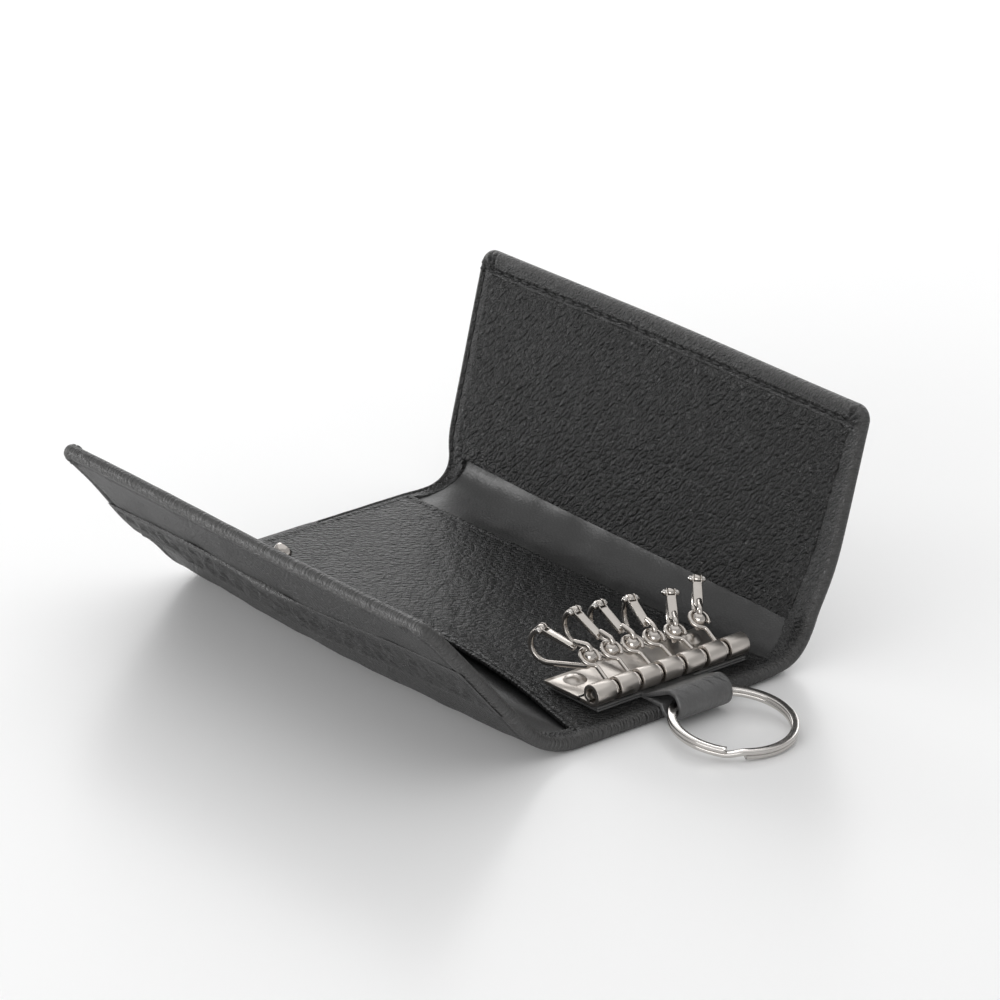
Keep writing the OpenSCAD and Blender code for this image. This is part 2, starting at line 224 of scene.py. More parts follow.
# The strap's base colour is the leather's own black, raised well above the case leather's with painted light
# that stands in for the light on the strap round the split ring.
STRAP = leather_material("strap_leather", base=0.08, rough=0.3, shine=0.9, pebble=0.5,
                         grain=0.3, crease=0.8, fine=0.2, depth=0.00012)
THREAD = thread_material()

# ---------------------------------------- mesh helpers


def smooth(x):
    x = np.clip(x, 0.0, 1.0)
    return x * x * (3 - 2 * x)


def hump(x, centre, width):
    return np.exp(-((x - centre) / width) ** 2)


def waves(a, b, seed, length, lean=None, narrow=0.35):
    """Soft irregular waves about that long, near 1 high; lean gives most of them one direction."""
    count = 9
    rng = np.random.default_rng(seed)
    total = np.zeros(np.broadcast(a, b).shape)
    for _ in range(count):
        turn = rng.uniform(0, 2 * PI) if lean is None else lean + rng.normal(0, narrow)
        k = 2 * PI / (length * rng.uniform(0.65, 1.5))
        total += np.sin(k * (a * math.cos(turn) + b * math.sin(turn)) + rng.uniform(0, 2 * PI))
    return total / math.sqrt(count)


def span(*stops):
    """Grid lines from stop to stop: value, step, value, step, ..., value."""
    out = []
    for a, step, b in zip(stops[:-2:2], stops[1:-1:2], stops[2::2]):
        out.append(np.linspace(a, b, max(2, int(math.ceil((b - a) / step)) + 1))[:-1])
    return np.concatenate(out + [[stops[-1]]])


# Distances from an edge to the grid lines next to it.
EDGE_STEPS = np.array([0, 0.06, 0.22, 0.45, 0.75, 1.1, 1.5, 1.8, 2.1, 2.4, 2.7, 3.0, 3.3, 3.55, 3.8,
                       4.05, 4.3, 4.6, 4.9, 5.3, 5.8, 6.4, 7.0])
PANEL_STEPS = EDGE_STEPS[:10]
SIDE_STEPS = np.append(PANEL_STEPS, PANEL_STEPS[-1] + 0.7)
PAD_STEPS = np.array([0, 0.06, 0.2, 0.45, 0.9])


def edged(low, high, steps, *middle):
    """Grid lines from low to high, at the given distances from both edges; middle is as in span."""
    inner = span(low + steps[-1], *middle, high - steps[-1])
    return np.concatenate([low + steps[:-1], inner, (high - steps[:-1])[::-1]])


def grid_faces(rows, cols, offset=0, flip=False):
    i, j = np.meshgrid(np.arange(rows - 1), np.arange(cols - 1), indexing="ij")
    a = offset + i * cols + j
    faces = np.stack([a, a + cols, a + cols + 1, a + 1], -1).reshape(-1, 4)
    return faces[:, ::-1] if flip else faces


def slab(low, high, clear=None, turned=False):
    """A closed sheet between two grids of points; clear says which of its faces to keep."""
    rows, cols = low.shape[:2]
    count = rows * cols
    index = np.arange(count).reshape(rows, cols)
    rim = np.concatenate([index[0, :-1], index[:-1, -1], index[-1, :0:-1], index[:0:-1, 0]])
    following = np.roll(rim, -1)
    wall = np.stack([rim, following, following + count, rim + count], -1)
    below = grid_faces(rows, cols)
    above = grid_faces(rows, cols, count, flip=True)
    if clear is not None:
        below, above = below[clear], above[clear]
    faces = np.concatenate([below, above, wall])
    points = np.concatenate([low.reshape(-1, 3), high.reshape(-1, 3)])
    return points, faces[:, ::-1] if turned else faces


def compact(points, faces, *more):
    """Drops the points that no face uses, and their values."""
    used, back = np.unique(faces, return_inverse=True)
    return [points[used], back.reshape(faces.shape)] + [values[used] for values in more]


def vertex_normals(points, faces):
    corner = points[faces]
    normal = np.cross(corner[:, 2] - corner[:, 0], corner[:, 3] - corner[:, 1])
    out = np.zeros_like(points)
    for k in range(4):
        np.add.at(out, faces[:, k], normal)
    return out / np.maximum(np.linalg.norm(out, axis=1, keepdims=True), 1e-12)


def mesh_object(name, points, faces, material, slot, uv=None, wear=None, normals=None):
    """A mesh from millimetres; a face with a repeated corner is written as a triangle."""
    me = bpy.data.meshes.new(name)
    listed = []
    for face in np.asarray(faces).tolist():
        once = list(dict.fromkeys(face))
        if len(once) > 2:
            listed.append(once)
    me.from_pydata((np.asarray(points) * MM).tolist(), [], listed)
    me.polygons.foreach_set("use_smooth", np.ones(len(me.polygons), bool))
    if uv is not None:
        corner = np.zeros(len(me.loops), int)
        me.loops.foreach_get("vertex_index", corner)
        layer = me.uv_layers.new(name="hide")
        layer.data.foreach_set("uv", np.asarray(uv)[corner].astype(np.float32).ravel())
    if wear is not None:
        worn = me.attributes.new("wear", "FLOAT", "POINT")
        worn.data.foreach_set("value", np.asarray(wear, np.float32))
    me.materials.append(material)
    me.update()
    if normals is not None:
        me.normals_split_custom_set_from_vertices(np.asarray(normals).tolist())
    ob = bpy.data.objects.new(name, me)
    bpy.context.scene.collection.objects.link(ob)
    return ob


def rigid_piece(name, shape, material, slot, node, body, **more):
    """A piece that stands for one CAD node and rides on its body."""
    ob = mesh_object(name, *shape, material, slot, **more)
    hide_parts(node)
    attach(ob, body)


def joined(shapes):
    """Several (points, faces) as one."""
    points, faces, count = [], [], 0
    for shape_points, shape_faces in shapes:
        points.append(np.asarray(shape_points, float))
        faces.append(np.asarray(shape_faces) + count)
        count += len(shape_points)
    return np.concatenate(points), np.concatenate(faces)


# ---------------------------------------- the leather's own coordinates
# s runs across the case along the middle of the leather's thickness, from the front flap's free edge
# over the middle section (s = 0 at Y = 0) to the back flap's; x runs along the folds; t is the height
# above that middle surface, + on the inside.

HALF = 1.5
END = 55.0
CORNER = 3.2
FRONT = {"flat": 25.0, "r": 16.5, "turn": math.radians(48)}
BACK = {"flat": 25.7, "r": 9.2, "turn": math.radians(75)}
FRONT_EDGE, FRONT_HINGE, FRONT_FOLD = -74.823, -45.323, -23.6
BACK_FOLD, BACK_HINGE, BACK_EDGE = 23.6, 41.643, 80.343
FRONT_CUT, BACK_CUT = -34.0, 32.6
SNAP_X, SOCKET_S = 4.5, 63.69


def spine(s):
    """Y, Z and slope of the leather's middle surface: flat, then an arc, then flat again."""
    front = s < 0
    flat = np.where(front, FRONT["flat"], BACK["flat"])
    r = np.where(front, FRONT["r"], BACK["r"])
    turn = np.where(front, FRONT["turn"], BACK["turn"])
    along = np.maximum(np.abs(s) - flat, 0)
    slope = np.minimum(along / r, turn)
    rest = np.maximum(along - r * turn, 0)
    y = np.minimum(np.abs(s), flat) + r * np.sin(slope) + rest * np.cos(turn)
    z = HALF + r * (1 - np.cos(slope)) + rest * np.sin(turn)
    side = np.where(front, -1.0, 1.0)
    return side * y, z, side * slope


def settle(s, x):
    """How far the worn case has bent out of true, along t."""
    back = 0.5 * smooth((s - 44.0) / 34.0) * smooth((-x - 5.0) / 52.0)
    right_bend = 2.5 * hump(s, 36.0, 9.0) * smooth((x - 37.0) / 17.0)
    left_bend = -2.1 * hump(s, 34.3, 5.0) * smooth((-x - 20.0) / 35.0)
    front = smooth((-s - 44.0) / 22.0) * (0.35 + 1.15 * smooth((34.0 - x) / 86.0))
    front_bend = 1.3 * hump(s, -40.0, 9.0) * smooth((-x - 15.0) / 35.0)
    return back + right_bend + left_bend + front + front_bend


def place(s, x, t):
    """Points in the row frame. The back flap is a little shorter at its right end."""
    s, x, t = np.broadcast_arrays(np.asarray(s, float), np.asarray(x, float), np.asarray(t, float))
    t = t + settle(s, x)
    s = s - 0.7 * smooth((x + 10.0) / 65.0) * smooth((s - 55.0) / 25.0)
    y, z, slope = spine(s)
    return np.stack([x, y - t * np.sin(slope), z + t * np.cos(slope)], -1)


# Four stretches of leather, each bending at one hinge: where it ends in s, its name, the two bodies,
# and where the bend starts and ends in s.
BENDS = (
    (FRONT_CUT, "front_flap", "front_fold", "front_flap", FRONT_HINGE + 3.0, FRONT_HINGE - 3.0),
    (0.0, "front_bend", "case", "front_fold", FRONT_FOLD + 3.0, FRONT_FOLD - 3.0),
    (BACK_CUT, "back_bend", "case", "back_fold", BACK_FOLD - 3.0, BACK_FOLD + 3.0),
    (1000.0, "back_flap", "back_fold", "back_flap", BACK_HINGE - 3.0, BACK_HINGE + 3.0))


def section(s):
    """Which of the four bending stretches a place is in."""
    return np.searchsorted([stretch[0] for stretch in BENDS[:-1]], s, side="right")


def bend(ob):
    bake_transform(ob)


def round_corners(s, x, ends, sides, radius):
    """Turns a grid's square corners into quarter circles, keeping each line's distance from the edge."""
    s_out, x_out = s.copy(), x.copy()
    for s_edge, sd in ends:
        for x_edge, xd in ((sides[0], -1), (sides[1], 1)):
            s_mid, x_mid = s_edge - sd * radius, x_edge - xd * radius
            a = (s - s_mid) * sd / radius
            b = (x - x_mid) * xd / radius
            inside = (a > 0) & (b > 0)
            big, small = np.maximum(a, b), np.minimum(a, b)
            angle = PI / 4 * small / np.maximum(big, 1e-9)
            along, across = big * np.cos(angle), big * np.sin(angle)
            s_turned = s_mid + sd * radius * np.where(a >= b, along, across)
            x_turned = x_mid + xd * radius * np.where(a >= b, across, along)
            s_out = np.where(inside, s_turned, s_out)
            x_out = np.where(inside, x_turned, x_out)
    return s_out, x_out


def rounded(d, radius):
    """0 at an edge, rising as a quarter circle to 1."""
    return np.sqrt(np.clip(1 - (1 - np.minimum(d, radius) / radius) ** 2, 0, 1))


def skins(name, rows, s, x, top, low, material, slot, wear, stands_for, hole=0.0):
    """A closed leather piece between two heights t over a grid, cut where the bending stretches meet.

    stands_for gives the CAD nodes that each stretch's piece stands for. Faces nearer to the middle of
    the snap socket than hole are left out.
    """
    row_count, col_count = s.shape
    count = row_count * col_count
    points = np.concatenate([place(s, x, low).reshape(-1, 3), place(s, x, top).reshape(-1, 3)])
    uv = np.tile(np.stack([s, x], -1).reshape(-1, 2) / 100.0, (2, 1))
    worn = np.tile(wear.reshape(-1), 2)
    # The two skins share the points of the outer edge.
    index = np.arange(count).reshape(row_count, col_count)
    upper = index + count
    for edge_line in ((0, slice(None)), (-1, slice(None)), (slice(None), 0), (slice(None), -1)):
        upper[edge_line] = index[edge_line]
    lower_faces = grid_faces(row_count, col_count)
    shared = np.concatenate([index.reshape(-1), upper.reshape(-1)])
    upper_faces = shared[grid_faces(row_count, col_count, count, flip=True)]
    normals = vertex_normals(points, np.concatenate([lower_faces, upper_faces]))
    which = np.repeat(section((rows[:-1] + rows[1:]) / 2), col_count - 1)
    centre_s = (s[:-1, :-1] + s[1:, 1:]).reshape(-1) / 2
    centre_x = (x[:-1, :-1] + x[1:, 1:]).reshape(-1) / 2
    which = np.where(np.hypot(centre_s - SOCKET_S, centre_x - SNAP_X) < hole, -1, which)
    present = np.unique(which[which >= 0])
    for k in present:
        stretch = BENDS[k][1]
        faces = np.concatenate([lower_faces[which == k], upper_faces[which == k]])
        p, f, u, w, n = compact(points, faces, uv, worn, normals)
        piece_name = name if len(present) == 1 else name + "_" + stretch
        ob = mesh_object(piece_name, p, f, material, slot, u, w, n)
        bend(ob)
        for node in stands_for.get(stretch, ()):
            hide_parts(node)


# Width of the turned edge along the two ends, where the inner leather begins.
RIM_PLACES = [-72, -46, -24, 22, 38, 78]


def from_left(s):
    return np.interp(s, RIM_PLACES, [3.8, 3.6, 2.1, 2.0, 3.3, 3.4])


def from_right(s):
    return np.interp(s, RIM_PLACES, [3.8, 3.6, 2.3, 2.2, 5.8, 2.9])


def corner_pleats(s, x):
    """Gathers that fan out over the turned edge at the flaps' free corners."""
    inset = 4.4
    total = 0
    for s_edge, sd in ((FRONT_EDGE, -1), (BACK_EDGE, 1)):
        for xd in (-1, 1):
            a = (s - (s_edge - sd * inset)) * sd
            b = (x - xd * (END - inset)) * xd
            r, angle = np.hypot(a, b), np.arctan2(b, a)
            fan = smooth((angle + 0.25) / 0.3) * smooth((PI / 2 + 0.25 - angle) / 0.3)
            fold = 2.0 * np.abs(np.sin(7.0 * angle + 0.5 * np.sin(5.0 * angle + xd))) - 1.0
            total = total + fold * fan * smooth((r - 0.7) / 0.6) * smooth((5.0 - r) / 1.4)
    return total


def spine_pleats(s, x, from_side):
    """Short slanted puckers where the turned edge goes round the inside of each fold."""
    lean = np.where(x > 0, 0.9, -0.9) * from_side
    wave = np.sin(2 * PI * (s + lean) / 1.45 + 0.7 * np.sin(s * 1.3))
    wave = wave + 0.7 * np.sin(2 * PI * (0.8 * s - lean) / 0.95 + 1.1 * np.sin(s * 0.9))
    return wave * smooth((4.4 - from_side) / 1.6) * (hump(s, 32.5, 6.0) + 0.9 * hump(s, -31.5, 6.5))


def outer_bulge(s, x):
    """The slip pocket and the worn fold stand out from the front flap, most of all near its middle."""
    up = smooth((-s - 30.0) / 14.0)
    off = smooth((FRONT_HINGE - 27.0 - s) / -12.0)
    flap = 1.2 * hump(x, 6.0, 24.0) * up * off
    fold = 0.35 * hump(s, -36.0, 8.0) * smooth((END - np.abs(x)) / 14.0)
    return flap + fold


# ---------------------------------------- outer leather

rows = edged(FRONT_EDGE, BACK_EDGE, EDGE_STEPS, 0.8, -40.0, 0.36, FRONT_CUT, 0.36, -22.0, 0.9, 0.0,
             0.9, 22.0, 0.36, BACK_CUT, 0.36, 41.0, 0.8)
cols = edged(-END, END, EDGE_STEPS, 0.8)
S0, X0 = np.meshgrid(rows, cols, indexing="ij")
free = np.minimum(S0 - FRONT_EDGE, BACK_EDGE - S0)
left, right = X0 + END, END - X0
side = np.minimum(left, right)
edge = np.minimum(free, side)
in_front = S0 < 0
S, X = round_corners(S0, X0, ((FRONT_EDGE, -1), (BACK_EDGE, 1)), (-END, END), CORNER)

# inside: the turned edge with the crease behind it, gathered at the corners and round the folds
on_flap = smooth((np.abs(S0 - 3.0) - 30.0) / 8.0)
off_edge = smooth((edge - 0.1) / 0.9)
past_rim = smooth((free - 2.6) / 1.0)
rim = 1.3 - 0.2 * on_flap
left_groove_at = np.where(S0 > 0, 1.7, 2.6)
left_groove = 0.85 * hump(left, left_groove_at, 0.3) * smooth((S0 + 30.0) / 8.0 + on_flap)
right_groove = 0.1 * hump(right, 2.0, 0.35) * smooth((S0 - 30.0) / 8.0)
groove = -0.6 * hump(free, 3.7, 0.42) * smooth((side - 3.0) / 0.8)
groove = groove - left_groove * past_rim
groove = groove - right_groove * past_rim
top = rim * rounded(edge, np.where(in_front, 0.9, 1.25)) + groove
top = top + 0.42 * corner_pleats(S, X) * off_edge
top = top + 0.34 * spine_pleats(S, X, side) * smooth((edge - 0.5) / 1.5)
top = top + 0.05 * waves(S, X, 3, 7.0) * smooth((edge - 0.4) / 1.0)
top = top + 0.05 * waves(S, X, 4, 1.7) * smooth((edge - 0.8) / 1.0) * on_flap
# further in, under the inner leather, the outer leather is thin
rim_width = np.where(X0 < 0, from_left(S0), from_right(S0)) + 1.6
inner_start = np.minimum(free - 7.0, side - rim_width)
top = top - (rim + 0.4) * smooth(inner_start / 0.9)

# outside: a pressed line along the edges, the slip pocket's bulge, worn waves, and one dent
low = -HALF * rounded(edge, np.where(in_front, 1.0, 1.5))
pressed = 0.28 * hump(edge, np.where(in_front, 2.3, 3.7), 0.4) * smooth((np.abs(S0) - 12.0) / 6.0)
low = low + pressed - outer_bulge(S, X) * smooth((edge - 0.6) / 2.5)
low = low - 0.12 * corner_pleats(S, X) * off_edge * smooth((4.5 - edge) / 1.5)
off_middle = smooth((np.abs(S0) - 16.0) / 6.0)
low = low + 0.07 * waves(S, X, 5, 9.0, lean=0.9) * smooth((edge - 0.6) / 2.0) * off_middle
low = low + 0.7 * hump(S, FRONT_EDGE + 2.2, 1.3) * hump(X, END - 6.0, 1.8)

skins("outer_leather", rows, S, X, top, low, OUTER, "black_leather", 0.9 * hump(edge, 0.5, 0.9),
      {"front_flap": ["front_cover"], "front_bend": ["front_fold"],
       "back_bend": ["centre_cover", "back_fold"], "back_flap": ["back_cover"]}, hole=3.0)

# ---------------------------------------- inner leather

# The grid of each inner piece is laid out on this width, and then stretched between the turned edges.
PANEL_WIDTH = 106.0


def inner_piece(name, s_rows, low_end, high_end, height, thick, material, slot, stands_for, texture,
                soft=0.35, corners=()):
    """A sheet of inner leather.

    low_end and high_end give its two edges as functions of x, and height its top as one of s and x.
    texture is added to that height, and soft is how far its edges round off.
    """
    share = edged(0.0, PANEL_WIDTH, SIDE_STEPS, 0.8) / PANEL_WIDTH
    R, V = np.meshgrid(s_rows, share, indexing="ij")
    x = -END + from_left(R) + V * (2 * END - from_left(R) - from_right(R))
    lo, hi = s_rows[0], s_rows[-1]
    reach = min(11.0, (hi - lo) / 2.2)
    low_shift = (low_end(x) - lo) * smooth(1 - (R - lo) / reach)
    high_shift = (high_end(x) - hi) * smooth(1 - (hi - R) / reach)
    s = R + low_shift + high_shift
    width = 2 * END - from_left(s) - from_right(s)
    x = -END + from_left(s) + V * width
    d = np.minimum(np.minimum(V, 1 - V) * width, np.minimum(R - lo, hi - R))
    if corners:
        middle_row = x[len(s_rows) // 2]
        s, x = round_corners(s, x, corners, (middle_row.min(), middle_row.max()), 1.6)
    top = height(s, x) - soft * (1 - rounded(d, soft * 1.4))
    top = top + texture(s, x) * smooth((d - 0.3) / 1.2)
    low = height(s, x) - thick
    skins(name, s_rows, s, x, top, low, material, slot, 0.6 * hump(d, 0.25, 0.3), stands_for)


def flat_line(value):
    return lambda x: np.full(np.shape(x), float(value))


def lining_folds(seed, size, length, squeeze=0.6):
    """Soft undulation of a lining, longer across the case than along it, and a finer one over it."""
    return lambda s, x: size * waves(s * squeeze, x, seed, length) + 0.02 * waves(s, x, seed + 1, 5.0)


# back flap: the grained panel, stitched inside the turned edge
PANEL_LOW, PANEL_HIGH = 36.6, BACK_EDGE - 4.55


def back_panel_foot(x):
    return 36.75 - 0.022 * x


def back_panel_height(s, x):
    return 1.3 + 0.12 * hump(s, 60, 14) * smooth((50 - abs(x)) / 30)


def back_panel_texture(s, x):
    return 0.05 * waves(s, x, 11, 4.2, lean=0.9) + 0.03 * waves(s, x, 12, 4.2 * 2.6)


inner_piece("back_panel_leather", edged(PANEL_LOW, PANEL_HIGH, PANEL_STEPS, 0.7), back_panel_foot,
            flat_line(PANEL_HIGH), back_panel_height, 0.7, GRAINED, "black_leather",
            {"back_flap": ["back_panel"]}, back_panel_texture, soft=0.42, corners=((PANEL_HIGH, 1),))


# back fold: a smooth lining, tucked under the panels at both edges
def back_lining_height(s, x):
    tucked = 0.35 * smooth((23.5 - s) / 2.0) + 0.75 * smooth((s - 32.0) / 5.5)
    dip = 0.3 * hump(s, 29.5, 3.0) * hump(x, -7.0, 5.0)
    return 1.0 - tucked - dip + 0.2 * hump(s, 29.0, 3.0)


inner_piece("back_spine_lining", span(20.5, 0.5, BACK_CUT, 0.5, 39.4), flat_line(20.5), flat_line(39.4),
            back_lining_height, 0.5, SMOOTH, "lining_leather", {}, lining_folds(21, 0.15, 12.0), soft=0.15)


# middle: the grained panel, whose curved front edge is the flat pocket's mouth
MOUTH_MIDDLE, POCKET_BACK = -21.0, 23.3


def mouth(x):
    """The stitched edge of the middle pocket."""
    return -17.6 - 7.2 * (np.abs(x) / 52.0) ** 1.6


def gape(s, x):
    """How far the mouth stands open."""
    return hump(s, mouth(x), 4.2) * (0.9 * smooth((50 - np.abs(x)) / 22))


def pocket_panel_height(s, x):
    return 1.5 + gape(s, x) - 0.2 * hump(s, mouth(x) + 1.25, 0.4)


def pocket_panel_texture(s, x):
    left_line = 0.3 * hump(x, -END + 3.4, 0.22)
    back_line = 0.2 * hump(s, 21.7, 0.25)
    return 0.045 * waves(s, x, 31, 4.6, lean=0.9) - left_line - back_line


inner_piece("pocket_panel_leather", edged(MOUTH_MIDDLE, POCKET_BACK, PANEL_STEPS, 0.8, 0.0, 0.8), mouth,
            flat_line(POCKET_BACK), pocket_panel_height, 0.62, GRAINED, "black_leather",
            {"back_bend": ["pocket_panel"]}, pocket_panel_texture, soft=0.3)


# front fold: the smooth lining that shows in the pocket's mouth
def front_lining_height(s, x):
    return 0.95 - 0.75 * smooth((s + 30.0) / 7.0) + 0.25 * hump(s, -29, 5) * hump(x, 42, 12)


inner_piece("front_spine_lining", span(-47.5, 0.5, FRONT_CUT, 0.5, -22.0, 0.8, -6.0), flat_line(-47.5),
            flat_line(-6.0), front_lining_height, 0.4, SMOOTH, "lining_leather",
            {"front_bend": ["centre_lining"]}, lining_folds(41, 0.06, 13.0), soft=0.15)

# front flap: a smooth panel inside the turned edge
LINING_LOW, LINING_HIGH = FRONT_EDGE + 4.5, -44.0
inner_piece("front_panel_lining", edged(LINING_LOW, LINING_HIGH, PANEL_STEPS, 0.7), flat_line(LINING_LOW),
            flat_line(LINING_HIGH), lambda s, x: np.full(np.shape(s), 1.5), 0.7, SMOOTH, "lining_leather",
            {"front_flap": ["front_panel"]}, lining_folds(51, 0.05, 12.0, squeeze=1.0), soft=0.4,
            corners=((LINING_LOW, -1),))

# ---------------------------------------- slip pocket
# It lies outside the front flap, and its mouth faces the flap's free edge.

POCKET_TOP, POCKET_FOOT = -59.5, -46.4
POCKET_WIDTH = 109.0

pocket_rows = edged(POCKET_TOP, POCKET_FOOT, PANEL_STEPS, 0.6)
R, V = np.meshgrid(pocket_rows, edged(0.0, POCKET_WIDTH, SIDE_STEPS, 0.8), indexing="ij")
x = V - POCKET_WIDTH / 2
slant = 2.6 - 4.6 * np.clip((x + 52.0) / 92.0, 0, 1) - 1.2 * hump(x, -2.0, 5.0)
s = R + slant * smooth((R - POCKET_FOOT) / (POCKET_TOP - POCKET_FOOT))
d = np.minimum(np.minimum(V, POCKET_WIDTH - V), np.minimum(R - POCKET_TOP, POCKET_FOOT - R))
skin = -HALF - outer_bulge(s, x) * smooth((END - np.abs(x) - 0.6) / 2.5)
mouth_gap = 0.5 * hump(s, POCKET_TOP, 5.0) * hump(x, -2, 7.0)
folds = 0.19 * waves(s, x, 61, 2.4, lean=1.15, narrow=0.25) * smooth((s - POCKET_TOP) / 2.0)
fade = smooth((V - 0.2) / 7.0) * (1 - 0.9 * smooth((x - 1.0) / 9.0))
raised = (0.06 + 0.42 * fade + mouth_gap) * rounded(d, 0.4)
low = skin - 0.05 - raised + folds * smooth((d - 0.4) / 1.5)
top = skin - 0.02 - mouth_gap
top = np.where(d < 1e-6, low, np.maximum(top, low + 0.05))
skins("slip_pocket_leather", pocket_rows, s, x, top, low, OUTER, "black_leather",
      0.8 * hump(d, 0.3, 0.4), {"front_flap": ["slip_pocket"]})

# ---------------------------------------- stiffening boards, in the leather

SOCKET_ROOM = 4.6
for node, body, start, end in (("back_board", "back_flap", BACK_HINGE + 3, BACK_EDGE - 5),
                               ("front_board", "front_flap", FRONT_EDGE + 5, FRONT_HINGE - 3),
                               ("centre_board", "case", -20.0, 20.0)):
    R, X = np.meshgrid(span(start, 1.0, end), span(-50, 1.0, 50), indexing="ij")
    from_socket = np.hypot(R[:-1, :-1] + 0.5 - SOCKET_S, X[:-1, :-1] + 0.5 - SNAP_X)
    board = slab(place(R, X, -0.45), place(R, X, 0.05), clear=from_socket.reshape(-1) > SOCKET_ROOM)
    rigid_piece(node + "_sheet", board, BOARD, "bonded_board", node, body)

# ---------------------------------------- stitching


def stitch_shape(length, width, height, around=8, rings=5):
    """One stitch, a bead with pointed ends, as offsets along, across and up."""
    u = np.linspace(0, 2 * PI, around + 1)[:-1]
    t = np.linspace(0, PI, rings + 2)[1:-1]
    T, U = np.meshgrid(t, u, indexing="ij")
    body = np.stack([-np.cos(T) * length / 2, np.sin(T) * np.cos(U) * width / 2,
                     np.sin(T) * np.sin(U) * height / 2], -1).reshape(-1, 3)
    points = np.concatenate([body, [[-length / 2, 0, 0], [length / 2, 0, 0]]])
    near_tip, far_tip, last = len(body), len(body) + 1, (rings - 1) * around
    faces = []
    for i in range(rings - 1):
        for j in range(around):
            k = (j + 1) % around
            a, b = i * around, (i + 1) * around
            faces.append([a + j, a + k, b + k, b + j])
    for j in range(around):
        k = (j + 1) % around
        faces.append([near_tip, near_tip, k, j])
        faces.append([far_tip, far_tip, last + j, last + k])
    return points, np.array(faces)


STITCH, STITCH_FACES = stitch_shape(1.75, 0.5, 0.36)
PITCH = 2.6


def stitches(name, runs, height):
    """runs: lists of (s, x) corners that a seam passes; height: t of the thread at (s, x)."""
    by_stretch = {}
    for run in runs:
        run = np.array(run, float)
        legs = np.linalg.norm(np.diff(run, axis=0), axis=1)
        passed = np.concatenate([[0], np.cumsum(legs)])
        count = max(1, int(legs.sum() / PITCH))
        for along in (np.arange(count) + 0.5) * legs.sum() / count:
            k = min(np.searchsorted(passed, along, side="right") - 1, len(legs) - 1)
            direction = (run[k + 1] - run[k]) / legs[k]
            centre = run[k] + direction * (along - passed[k])
            s = centre[0] + STITCH[:, 0] * direction[0] - STITCH[:, 1] * direction[1]
            x = centre[1] + STITCH[:, 0] * direction[1] + STITCH[:, 1] * direction[0]
            t = height(centre[0], centre[1]) + STITCH[:, 2]
            stitch = (place(s, x, t), STITCH_FACES)
            by_stretch.setdefault(int(section(centre[0])), []).append(stitch)
    for k, shapes in by_stretch.items():
        ob = mesh_object(name + "_" + BENDS[k][1], *joined(shapes), THREAD, "black_leather")
        bend(ob)


SEAM = 3.72
back_seam, front_seam = BACK_EDGE - SEAM, FRONT_EDGE + SEAM
seam_end = END - SEAM
stitches("rim_stitches", [
    [(back_seam, -END + 4.5), (back_seam, END - 4.5)],
    [(BACK_EDGE - 5.0, -END + 1.75), (36.0, -END + 1.75)],
    [(front_seam, -END + 4.5), (front_seam, END - 4.5)],
    [(FRONT_EDGE + 5.0, -END + 2.6), (-42.0, -END + 2.6)],
    [(FRONT_EDGE + 5.0, END - 2.0), (-42.0, END - 2.0)]], lambda s, x: 0.93)
stitches("outside_stitches", [
    [(20.0, -seam_end), (back_seam, -seam_end), (back_seam, seam_end), (20.0, seam_end)]],
    lambda s, x: -1.36 - outer_bulge(s, x))
stitches("mouth_stitches", [[(mouth(x) + 1.25, x) for x in np.linspace(-50, 50, 41)]],
         lambda s, x: 1.36 + gape(s, x))

# ---------------------------------------- wire and sheet metal

UP = np.array([0.0, 0.0, 1.0])
ALONG_Y = np.array([0.0, 1.0, 0.0])


def sweep(path, up, section_of, closed=False):
    """A tube along a path. section_of(i) gives offsets (side, up) round its point i."""
    path = np.asarray(path, float)
    n = len(path)
    if closed:
        tangent = np.roll(path, -1, 0) - np.roll(path, 1, 0)
    else:
        tangent = np.gradient(path, axis=0)
    tangent /= np.linalg.norm(tangent, axis=1, keepdims=True)
    across = np.cross(np.broadcast_to(up, path.shape), tangent)
    across /= np.linalg.norm(across, axis=1, keepdims=True)
    rise = np.cross(tangent, across)
    rings = []
    for i in range(n):
        offsets = np.asarray(section_of(i))
        rings.append(path[i] + offsets[:, :1] * across[i] + offsets[:, 1:] * rise[i])
    m = len(rings[0])
    points = np.concatenate(rings)
    i, j = np.meshgrid(np.arange(n if closed else n - 1), np.arange(m), indexing="ij")
    following, k = (i + 1) % n, (j + 1) % m
    faces = np.stack([i * m + j, following * m + j, following * m + k, i * m + k], -1)
    faces = faces.reshape(-1, 4)[:, ::-1]
    if not closed:
        points = np.concatenate([points, [path[0], path[-1]]])
        j = np.arange(m)
        k = (j + 1) % m
        first, last = np.full(m, n * m), np.full(m, n * m + 1)
        end = (n - 1) * m
        first_cap = np.stack([first, first, k, j], -1)[:, ::-1]
        last_cap = np.stack([last, last, end + j, end + k], -1)[:, ::-1]
        faces = np.concatenate([faces, first_cap, last_cap])
    return points, faces


def circle(radius, n=14):
    a = np.arange(n) * 2 * PI / n
    return np.stack([np.cos(a) * radius, np.sin(a) * radius], -1)


def rounded_box(w, h, r, n=3):
    """Offsets round a rectangle w by h with corner radius r."""
    out = []
    for cx, cy, start in ((1, 1, 0), (-1, 1, 90), (-1, -1, 180), (1, -1, 270)):
        for a in np.radians(start + np.linspace(0, 90, n + 1)):
            out.append([cx * (w / 2 - r) + r * math.cos(a), cy * (h / 2 - r) + r * math.sin(a)])
    return np.array(out)


